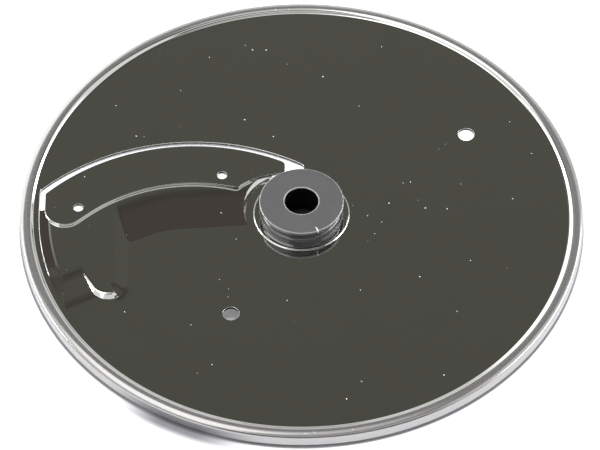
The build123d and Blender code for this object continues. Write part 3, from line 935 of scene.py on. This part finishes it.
def relief(tree, height, distance, strength):
    """The normal of a surface with a fine relief."""
    return add(tree, "ShaderNodeBump", {"Height": height, "Distance": distance, "Strength": strength}).outputs[0]


def use_group(tree, group, **values):
    """One of the shared effects placed in a material with its own values."""
    made = add(tree, "ShaderNodeGroup", node_tree=group)
    for socket, value in values.items():
        made.inputs[socket].default_value = value
    return made.outputs


PLATE_TONE = (0.66, 0.66, 0.64)
BLADE_TONE = (0.67, 0.67, 0.65)
SATIN_TONE = (0.42, 0.413, 0.41)
CLOUD_TONE = (0.2, 0.2, 0.2)
SPECK_TONE = (0.62, 0.62, 0.6)
# Cut walls: nearly black, partly the sheared finish and partly painted shade
CUT_WALL_SHADE_TONES = ((0.03, 0.03, 0.03), (0.07, 0.07, 0.065))
HUB_TONES = ((0.078, 0.076, 0.079), (0.098, 0.096, 0.099))
# Painted shade inside the hub's bore
BORE_SHADE_TONE = (0.006, 0.006, 0.007)
# Painted highlight on the hub's rounded edges
EDGE_HIGHLIGHT_TONE = (0.42, 0.41, 0.43)
NICK_TONE = (0.75, 0.75, 0.77)
# Roughness: the least, and what clouds, turned lines or mottling add
MIRROR_ROUGHNESS = (0.03, 0.035)
SATIN_ROUGHNESS = (0.13, 0.1)
HUB_ROUGHNESS = (0.11, 0.08)
SATIN_SCATTER = 0.22
SATIN_START = RIM_ROOT + 1.4
SATIN_BLEND = 0.5
LINES_PER_METRE = 9000.0


def polished_steel(name, tone, satin_from):
    """Polished sheet steel: a mirror with faint clouds, fine scratches and dust, satin with turned lines at the rim."""
    material, tree, surface = new_material(name)
    place, parts, flat, radius = axis_places(tree)
    satin = span(tree, radius, satin_from * MM, (satin_from + SATIN_BLEND) * MM)
    cloudy = span(tree, noise(tree, place, 55.0, 4.0), 0.55, 0.8)
    dust = use_group(tree, DUST, Cells=190.0, Size=0.036, Share=0.16)["Mask"]
    fine_dust = use_group(tree, DUST, Cells=430.0, Size=0.08, Share=0.09)["Mask"]
    specks = maths(tree, "MAXIMUM", dust, fine_dust)
    scratches = use_group(tree, SCRATCHES, Density=0.5, Turn=0.5)["Mask"]
    way = add(tree, "ShaderNodeVectorMath", {0: flat}, operation="NORMALIZE").outputs[0]
    split = add(tree, "ShaderNodeSeparateXYZ", {0: way}).outputs
    round_about = [times(tree, split[i], 3.0) for i in (0, 1)]
    across, down = (times(tree, value, LINES_PER_METRE) for value in (radius, parts[2]))
    lathe = add(tree, "ShaderNodeCombineXYZ", {0: round_about[0], 1: round_about[1], 2: across}).outputs[0]
    lines = {"Vector": lathe, "W": down, "Scale": 1.0, "Detail": 2.0}
    turned = add(tree, "ShaderNodeTexNoise", lines, noise_dimensions="4D").outputs[0]
    mirror_rough = varied(tree, MIRROR_ROUGHNESS, cloudy)
    satin_rough = varied(tree, SATIN_ROUGHNESS, turned)
    mixed = add(tree, "ShaderNodeMix", {0: satin, 2: mirror_rough, 3: satin_rough})
    rough = maths(tree, "MAXIMUM", mixed.outputs[0], times(tree, specks, 0.8))
    scratched = times(tree, scratches, span(tree, satin, 0.0, 1.0, 0.12, 0.0))
    rough = maths(tree, "ADD", rough, scratched)
    bright = blend(tree, satin, tone, SATIN_TONE)
    steel = blend(tree, times(tree, cloudy, 0.06), bright, CLOUD_TONE)
    colour = blend(tree, specks, steel, SPECK_TONE)
    scatter = maths(tree, "MAXIMUM", specks, times(tree, satin, SATIN_SCATTER))
    metal = maths(tree, "SUBTRACT", 1.0, scatter)
    grooves = relief(tree, times(tree, turned, satin), 0.00001, 0.35)
    feed(tree, surface, {"Base Color": colour, "Roughness": rough, "Metallic": metal, "Normal": grooves})
    return material


def sheared_steel_and_shade():
    """Sheared edges of the sheet: matt and finely torn down the cut. Their nearly black colour is partly the sheared
    finish and partly painted shade on the cut walls.
    """
    material, tree, surface = new_material("sheared steel edge", Metallic=1.0)
    place = add(tree, "ShaderNodeTexCoord").outputs["Object"]
    drawn = add(tree, "ShaderNodeMapping", {"Vector": place, "Scale": (3200.0, 3200.0, 500.0)})
    tear = noise(tree, drawn.outputs[0], 1.0, 3.0)
    # Nearly black colour: partly the sheared finish, partly painted shade in the cut walls
    dark_cut_tone = blend(tree, tear, *CUT_WALL_SHADE_TONES)
    rough = span(tree, tear, 0.2, 0.8, 0.4, 0.65)
    feed(tree, surface, {"Base Color": dark_cut_tone, "Roughness": rough, "Normal": relief(tree, tear, 0.00003, 0.5)})
    return material


# Place of the pale nick on the hub's top edge, its slant, and where it fades to its sides, inwards and downwards
NICK = (0.005, -0.0118)
NICK_SLANT = 0.45
NICK_SIDE = (0.00045, 0.0002)
NICK_INNER = (-0.0105, -0.0115)
NICK_LOWER = (0.009, 0.0095)
# Widths over which the painted edge highlights fade, beside the edge and down from the top face, and the radii they lie
# at
EDGE_HIGHLIGHT_SIDE = (0.0003, 0.0001)
EDGE_HIGHLIGHT_DROP = ((HUB_TOP - 0.5) * MM, (HUB_TOP - 0.2) * MM)
EDGE_HIGHLIGHT_RADII = (BORE_RADIUS + 0.2, HUB_RADIUS - 0.1)
# Radii, in metres, inside which the bore is painted dark as shade
BORE_SHADE_START = ((BORE_RADIUS + 0.05) * MM, (BORE_RADIUS + 0.02) * MM)


def hub_plastic():
    """Satin moulded plastic: faint mottling, a fine grain, painted highlights on the rounded edges, painted shade in
    the bore, and a pale nick.
    """
    material, tree, surface = new_material("satin hub plastic")
    place, parts, _, radius = axis_places(tree)
    mottle = noise(tree, place, 160.0, 4.0)
    grain = noise(tree, place, 2600.0, 2.0)
    dust = use_group(tree, DUST, Cells=500.0, Size=0.1, Share=0.06)["Mask"]
    base = blend(tree, mottle, *HUB_TONES)
    # Painted shade: inside the bore the colour is made nearly black
    bore_shade = span(tree, radius, *BORE_SHADE_START)
    base = blend(tree, bore_shade, base, BORE_SHADE_TONE)
    lean = times(tree, maths(tree, "SUBTRACT", parts[1], NICK[1]), NICK_SLANT)
    aside = maths(tree, "ABSOLUTE", maths(tree, "ADD", maths(tree, "SUBTRACT", parts[0], NICK[0]), lean))
    beside = maths(tree, "ADD", aside, times(tree, grain, 0.0002))
    nick = times(tree, span(tree, beside, *NICK_SIDE), span(tree, parts[1], *NICK_INNER))
    nick = times(tree, nick, span(tree, parts[2], *NICK_LOWER))
    # Painted highlight: the rounded edges of the bore lip and the top flange are made lighter
    edge_highlight = maths(tree, "MAXIMUM", *(
        span(tree, maths(tree, "ABSOLUTE", maths(tree, "SUBTRACT", radius, edge * MM)), *EDGE_HIGHLIGHT_SIDE)
        for edge in EDGE_HIGHLIGHT_RADII
    ))
    edge_highlight = times(tree, edge_highlight, span(tree, parts[2], *EDGE_HIGHLIGHT_DROP))
    base = blend(tree, times(tree, edge_highlight, 0.6), base, EDGE_HIGHLIGHT_TONE)
    marks = maths(tree, "MAXIMUM", times(tree, dust, 0.5), nick)
    colour = blend(tree, marks, base, NICK_TONE)
    rough = varied(tree, HUB_ROUGHNESS, mottle)
    # The bore's painted shade also lowers the specular level there
    shine = span(tree, bore_shade, 0.0, 1.0, 0.9, 0.1)
    fine = relief(tree, grain, 0.00002, 0.25)
    feed(tree, surface, {"Base Color": colour, "Roughness": rough, "Specular IOR Level": shine, "Normal": fine})
    return material


SHEARED_AND_SHADE = sheared_steel_and_shade()
plate.data.materials.append(polished_steel("polished plate steel", PLATE_TONE, SATIN_START))
plate.data.materials.append(SHEARED_AND_SHADE)
blade.data.materials.append(polished_steel("polished blade steel", BLADE_TONE, DISC_RADIUS * 2))
blade.data.materials.append(SHEARED_AND_SHADE)
hub.data.materials.append(hub_plastic())


# Stage, light and camera

PHOTO_WIDTH = 600
CAMERA_ELEVATION = math.radians(50.5)
CAMERA_DISTANCE = 1.618
CAMERA_FOCAL_PIXELS = 5061
CENTRE_RIGHT_PIXELS = 1.5
CENTRE_UP_PIXELS = 11.5
SENSOR = 36.0

FLOOR_REACH = 3.0
FLOOR_DROP = 0.05
LIGHT_WAY = (math.radians(72), math.radians(80))
LIGHT_SPREAD = math.radians(8)
LIGHT_STRENGTH = 2.4
GLOW = 0.9
FLOOR_GLOW = 0.2
FLOOR_TONE = (0.82, 0.82, 0.845)
SHADOW_TONE = (0.1, 0.1, 0.12)
# Painted shade on the floor under the hub
UNDER_HUB_SHADE_TONE = (0.03, 0.03, 0.03)
FLOOR_LIGHT = (1.0, 1.0, 1.03)
# Shade on the floor: turn of the crescent with its soft ends, then where crescent and line fade and how dark they are
CRESCENT_TURN = (math.radians(-118), math.radians(-112), math.radians(16))
CRESCENT_FADE = ((DISC_RADIUS + 1.8) * MM, (DISC_RADIUS + 5.5) * MM, 0.88, 0.0)
LINE_FADE = ((DISC_RADIUS + 0.05) * MM, (DISC_RADIUS + 0.65) * MM, 0.75, 0.0)
LINE_START = ((DISC_RADIUS - 3) * MM, (DISC_RADIUS - 2) * MM)
# Floor below the disc, in metres from the axis: painted shade under the hub, then the glow's inner and outer end
HUB_SHADE_RADII = (0.009, 0.012)
GLOW_START = (0.0145, 0.0165)
GLOW_END = (0.086, 0.084)
GLOW_OUTSIDE = (0.085, 0.0865)
# The glow follows the slot, is weak below the near hole and strong below the far one
SLOT_GLOW = ((SLOT_RADIUS + 1.9) * MM, (SLOT_RADIUS + 2.7) * MM, GLOW, 0.1)
NEAR_HOLE_GLOW = (0.01, 0.03, 0.2, 1.0)
NEAR_HOLE_SPOT = (-22, -38)
FAR_HOLE_GLOW = (0.008, 0.012, GLOW, 0.0)
FAR_HOLE_SPOT = (53, 36)
SCREEN_SOFT_SIDES = 0.12
SCREEN_SOFT_ENDS = 0.05
# Colour or grey of the surroundings by the height of a direction, from the horizon to straight above
SKY_STOPS = (
    (0.0, 0.5),
    (0.16, 0.5),
    (0.24, (0.13, 0.125, 0.11)),
    (0.6, (0.11, 0.11, 0.094)),
    (0.74, (0.112, 0.112, 0.096)),
    (0.8, (0.099, 0.099, 0.084)),
    (0.82, (0.07, 0.067, 0.06)),
    (0.835, (0.065, 0.06, 0.052)),
    (0.855, (0.086, 0.072, 0.063)),
    (0.872, (0.082, 0.07, 0.061)),
    (0.886, (0.1, 0.097, 0.084)),
    (0.945, (0.098, 0.096, 0.083)),
    (0.968, (0.85, 0.85, 0.83)),
    (1.0, (0.9, 0.9, 0.88)),
)
# Screens: azimuth limits in degrees from +X, limits of the direction's height, colour or grey
SCREENS = (
    (66, 110, 0.0, 0.47, 0.95),
    (14, 66, 0.0, 0.5, 0.85),
    (110, 152, 0.0, 0.53, (2.2, 2.2, 2.15)),
    (114, 136, 0.6, 0.74, (0.085, 0.07, 0.065)),
    (106, 111, 0.6, 0.76, (0.35, 0.35, 0.34)),
    (152, 190, 0.0, 0.72, 1.0),
    (-190, -118, 0.26, 0.82, 1.0),
    (136, 160, 0.86, 0.985, (2.4, 2.4, 2.35)),
    (150, 190, 0.78, 0.985, (2.4, 2.4, 2.35)),
    (-190, -124, 0.78, 0.985, (2.4, 2.4, 2.35)),
    (-172, -112, 0.0, 0.24, 0.02),
    (-118, -42, 0.0, 0.88, 0.03),
    (-122, -34, 0.76, 0.86, 0.9),
    (-34, 26, 0.35, 0.82, 1.0),
    (150, 196, 0.3, 0.42, 12.0),
    (-14, 34, 0.3, 0.42, 12.0),
)

scene = bpy.context.scene
scene.view_settings.view_transform = "Standard"


def rim_shadow(tree, parts, radius):
    """Shade on the floor: a soft dark crescent along the rim's near left, and a thin dark line round the whole rim."""
    along = window(tree, azimuth(tree, parts), *CRESCENT_TURN)
    near = span(tree, radius, *CRESCENT_FADE)
    ring = span(tree, radius, *LINE_FADE)
    contact = times(tree, ring, span(tree, radius, *LINE_START))
    return maths(tree, "MAXIMUM", times(tree, along, near), contact)


def make_floor():
    """A wide pale floor, clear from below. It glows under the slot and the holes, and has painted shade under the hub.
    """
    sides = ((-1, -1), (1, -1), (1, 1), (-1, 1))
    corners = [(x * FLOOR_REACH, y * FLOOR_REACH, -FLOOR_DROP * MM) for x, y in sides]
    mesh = bpy.data.meshes.new("floor")
    mesh.from_pydata(corners, [], [(0, 1, 2, 3)])
    floor = bpy.data.objects.new("floor", mesh)
    scene.collection.objects.link(floor)
    material, tree, surface = new_material("pale floor", Roughness=0.9)
    place, parts, _, radius = axis_places(tree)
    # Painted shade: the floor under the hub is made nearly black
    pale = blend(tree, span(tree, radius, *HUB_SHADE_RADII), UNDER_HUB_SHADE_TONE, FLOOR_TONE)
    shade = rim_shadow(tree, parts, radius)
    pale = blend(tree, shade, pale, SHADOW_TONE)
    under = times(tree, span(tree, radius, *GLOW_START), span(tree, radius, *GLOW_END))

    def far(x, y):
        made = add(tree, "ShaderNodeVectorMath", {0: place, 1: (x * MM, y * MM, 0)}, operation="DISTANCE")
        return made.outputs["Value"]

    strip = span(tree, far(*SWEEP), *SLOT_GLOW)
    strip = times(tree, strip, span(tree, far(*NEAR_HOLE_SPOT), *NEAR_HOLE_GLOW))
    spot = span(tree, far(*FAR_HOLE_SPOT), *FAR_HOLE_GLOW)
    glow = times(tree, under, maths(tree, "MAXIMUM", strip, spot))
    away = span(tree, radius, *GLOW_OUTSIDE, 0.0, FLOOR_GLOW)
    away = times(tree, away, maths(tree, "SUBTRACT", 1.0, shade))
    light = blend(tree, maths(tree, "ADD", glow, away), (0, 0, 0), FLOOR_LIGHT)
    surface.inputs["Emission Strength"].default_value = 1.0
    below = add(tree, "ShaderNodeNewGeometry").outputs["Backfacing"]
    shown = maths(tree, "SUBTRACT", 1.0, below)
    feed(tree, surface, {"Base Color": pale, "Emission Color": light, "Alpha": shown})
    mesh.materials.append(material)


def make_sky():
    """Studio surroundings by direction: tones by height, from the horizon to a white zenith, with screens over them."""
    world = bpy.data.worlds.new("studio")
    scene.world = world
    world.use_nodes = True
    tree = world.node_tree
    tree.nodes.clear()
    way = add(tree, "ShaderNodeTexCoord").outputs["Generated"]
    parts = add(tree, "ShaderNodeSeparateXYZ", {0: way}).outputs
    height, turn = parts[2], azimuth(tree, parts)
    ramp = add(tree, "ShaderNodeValToRGB", {0: height})
    elements = ramp.color_ramp.elements
    while len(elements) < len(SKY_STOPS):
        elements.new(0.5)
    for element, (position, colour) in zip(elements, SKY_STOPS):
        element.position = position
        element.color = (*(np.ones(3) * colour), 1)

    def screen(low, high, bottom, top):
        across = window(tree, turn, math.radians(low), math.radians(high), SCREEN_SOFT_SIDES)
        return times(tree, across, window(tree, height, bottom, top, SCREEN_SOFT_ENDS))

    colour = ramp.outputs[0]
    for *limits, tone in SCREENS:
        colour = blend(tree, screen(*limits), colour, np.ones(3) * tone)
    light = add(tree, "ShaderNodeBackground", {"Color": colour, "Strength": 1.0})
    add(tree, "ShaderNodeOutputWorld", {"Surface": light.outputs[0]})


def make_back_light():
    """A broad distant light from high behind the disc. It lights and casts shadows, and no mirror shows it."""
    data = bpy.data.lights.new("back light", "SUN")
    data.angle = LIGHT_SPREAD
    data.energy = LIGHT_STRENGTH
    light = bpy.data.objects.new("back light", data)
    a, e = LIGHT_WAY
    towards = Vector((math.cos(a) * math.cos(e), math.sin(a) * math.cos(e), math.sin(e)))
    light.rotation_euler = (-towards).to_track_quat("-Z", "Y").to_euler()
    light.visible_glossy = False
    scene.collection.objects.link(light)


def make_camera():
    """The camera at the photograph's viewing angle, aimed at the plate's centre and shifted to its frame."""
    data = bpy.data.cameras.new("camera")
    data.sensor_width = SENSOR
    data.lens = CAMERA_FOCAL_PIXELS * SENSOR / PHOTO_WIDTH
    data.shift_x = -CENTRE_RIGHT_PIXELS / PHOTO_WIDTH
    data.shift_y = -CENTRE_UP_PIXELS / PHOTO_WIDTH
    data.clip_start, data.clip_end = 0.05, 20
    camera = bpy.data.objects.new("camera", data)
    back = Vector((0, -math.cos(CAMERA_ELEVATION), math.sin(CAMERA_ELEVATION)))
    camera.location = Vector((0, 0, PLATE_TOP * MM)) + CAMERA_DISTANCE * back
    camera.rotation_mode = "QUATERNION"
    camera.rotation_quaternion = (-back).to_track_quat("-Z", "Y")
    scene.collection.objects.link(camera)
    scene.camera = camera


make_floor()
make_sky()
make_back_light()
make_camera()
